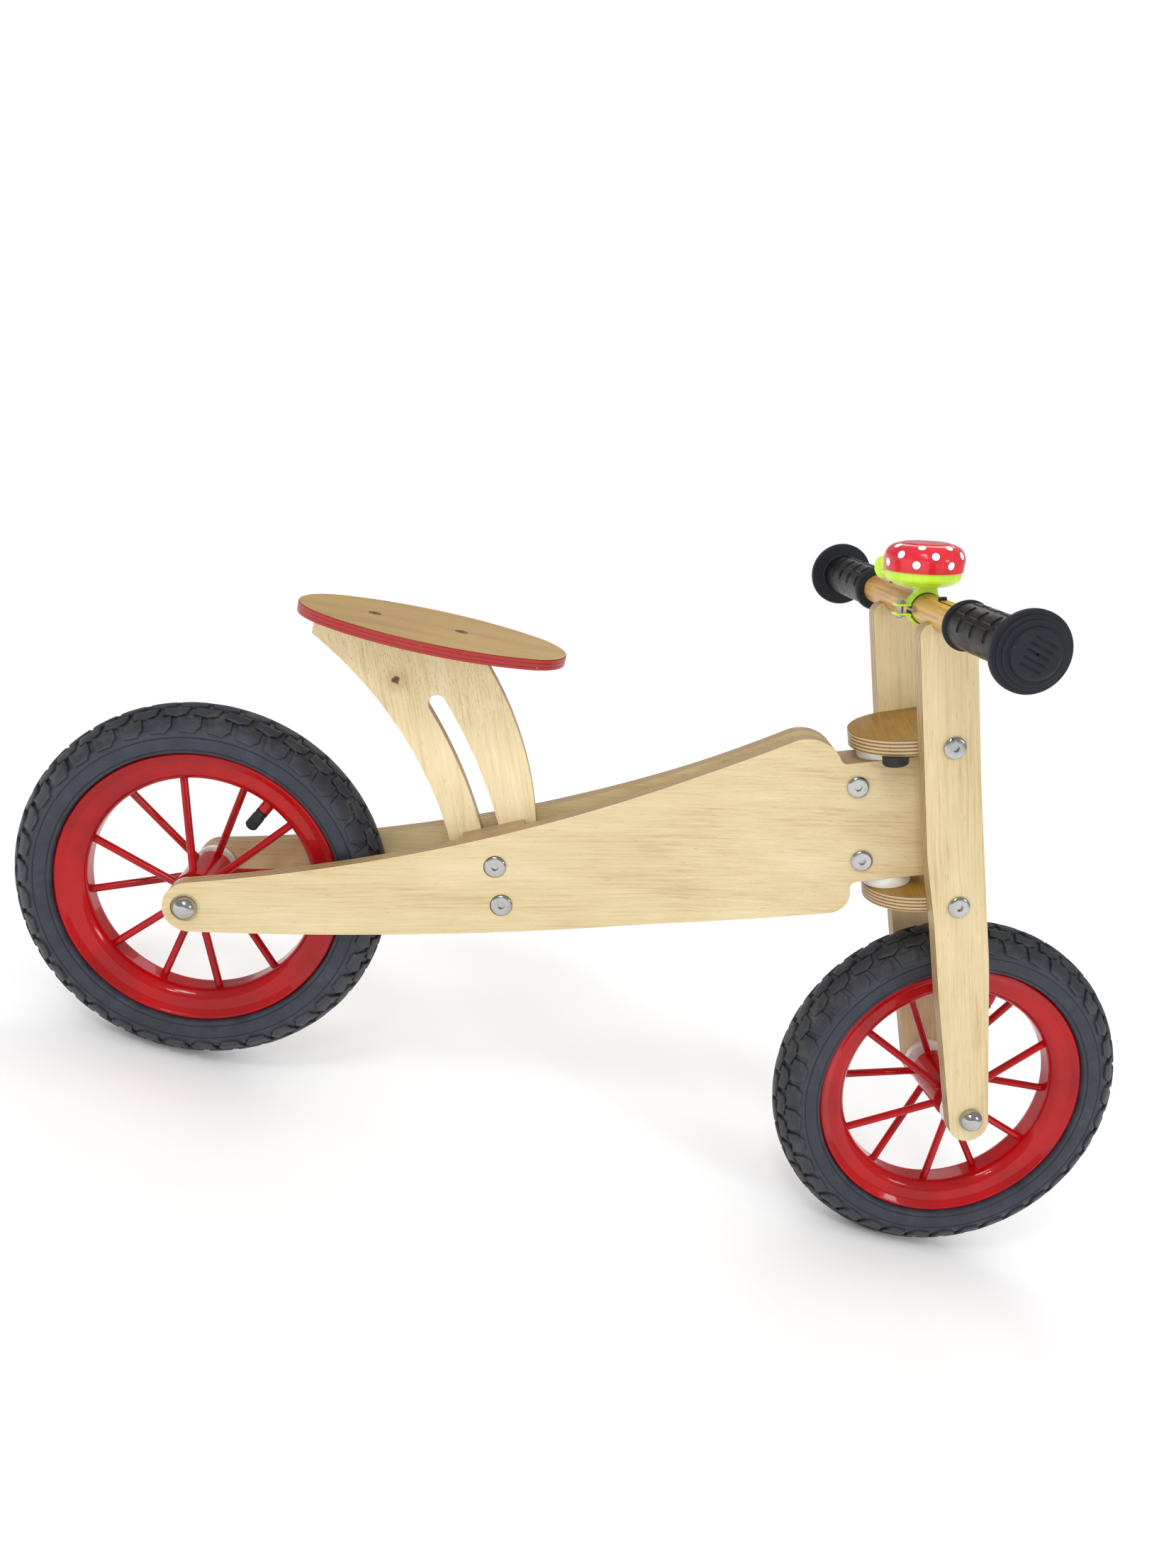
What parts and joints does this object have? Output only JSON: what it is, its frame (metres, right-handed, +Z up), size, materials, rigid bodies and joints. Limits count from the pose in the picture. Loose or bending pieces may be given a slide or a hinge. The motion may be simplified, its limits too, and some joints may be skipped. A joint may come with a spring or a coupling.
{
  "type": "balance bike",
  "caption": "Child's plywood balance bike with spoked wheels, curved slotted seat post, wooden handlebar and thumb bell.",
  "frame": {"origin": "on the ground, midway between the two wheel axles and on the bike's centre plane", "axes": "+X forwards, +Y to the rider's left, +Z up; the fork is turned 5.5 degrees to the left at rest"},
  "size_m": [0.9063, 0.3906, 0.5553],
  "materials": {
    "birch_plywood": "clear satin varnish",
    "oiled_plywood": "clear satin varnish",
    "handlebar_wood": "clear satin varnish",
    "nylon": "matt",
    "chrome_fastener": "polished",
    "steel": "satin",
    "black_steel": "black",
    "rim_paint": "gloss red",
    "inner_rubber": "matt",
    "tyre_rubber": "matt, dusty",
    "valve_rubber": "matt",
    "grip_rubber": "matt",
    "bell_green": "gloss lime green",
    "bell_red": "gloss red with white dots"
  },
  "bodies": {
    "frame": {"side_plate_right": "birch_plywood", "side_plate_left": "birch_plywood", "head_block": "birch_plywood", "head_bushes": "nylon", "frame_bolts": "chrome_fastener", "frame_nuts": "chrome_fastener", "clamp_bolts": "chrome_fastener", "clamp_nuts": "chrome_fastener", "clamp_spacer_right": "birch_plywood", "clamp_spacer_left": "birch_plywood", "rear_axle": "steel", "rear_axle_nuts": "chrome_fastener", "rear_spacers": "nylon"},
    "seat": {"seat_post": "birch_plywood", "seat_board": "oiled_plywood", "seat_screws": "steel"},
    "rear_wheel": {"rear_rim": "rim_paint", "rear_spokes": "rim_paint", "rear_hub": "rim_paint", "rear_bearings": "steel", "rear_rim_tape": "inner_rubber", "rear_inner_tube": "inner_rubber", "rear_tyre": "tyre_rubber", "rear_valve": "valve_rubber", "rear_valve_cap": "valve_rubber"},
    "steering": {"crown_upper": "oiled_plywood", "crown_lower": "oiled_plywood", "fork_blade_right": "birch_plywood", "fork_blade_left": "birch_plywood", "fork_bolts": "chrome_fastener", "fork_barrel_nuts": "steel", "steering_pin": "steel", "stop_bumpers": "grip_rubber", "bumper_screws": "steel", "handlebar": "handlebar_wood", "handlebar_screws": "black_steel", "grip_right": "grip_rubber", "grip_left": "grip_rubber", "front_axle": "steel", "front_axle_nuts": "chrome_fastener", "front_spacers": "nylon", "bell_clamp": "bell_green", "bell_liner": "grip_rubber", "bell_clamp_screw": "chrome_fastener", "bell_base": "bell_green", "bell_posts": "steel", "bell_spring": "steel", "bell_dome": "bell_red"},
    "front_wheel": {"front_rim": "rim_paint", "front_spokes": "rim_paint", "front_hub": "rim_paint", "front_bearings": "steel", "front_rim_tape": "inner_rubber", "front_inner_tube": "inner_rubber", "front_tyre": "tyre_rubber", "front_valve": "valve_rubber", "front_valve_cap": "valve_rubber"},
    "bell_lever": {"bell_lever": "bell_green"},
    "bell_rotor": {"bell_rotor": "steel", "bell_strikers": "steel"}
  },
  "joints": [
    {"name": "steer", "type": "hinge", "parent": "frame", "child": "steering", "pos_m": [0.19691, 0, 0.30159], "axis": [-0.3971, 0, 0.9178], "range_deg": [-38.5, 27.5]},
    {"name": "rear_spin", "type": "hinge", "parent": "frame", "child": "rear_wheel", "pos_m": [-0.31, 0, 0.1435], "axis": [0, 1, 0], "continuous": true},
    {"name": "front_spin", "type": "hinge", "parent": "steering", "child": "front_wheel", "pos_m": [0.30983, 0.00393, 0.14342], "axis": [-0.088, 0.9954, -0.0381], "continuous": true},
    {"name": "seat_height", "type": "hinge", "parent": "frame", "child": "seat", "pos_m": [-0.437, 0, 0.063], "axis": [0, -1, 0], "range_deg": [-5, 1.5]},
    {"name": "bell_thumb", "type": "hinge", "parent": "steering", "child": "bell_lever", "pos_m": [0.11528, -0.00828, 0.52228], "axis": [-0.2661, 0.0133, 0.9638], "range_deg": [0, 20], "stiffness_Nm_per_rad": 0.02, "springref_deg": -11.46},
    {"name": "bell_spin", "type": "hinge", "parent": "steering", "child": "bell_rotor", "pos_m": [0.13487, -0.0099, 0.52772], "axis": [-0.2661, 0.0133, 0.9638], "range_deg": [-50, 2]}
  ],
  "couplings": [
    {"joint": "bell_spin", "follows": "bell_thumb", "ratio": -2.4}
  ]
}
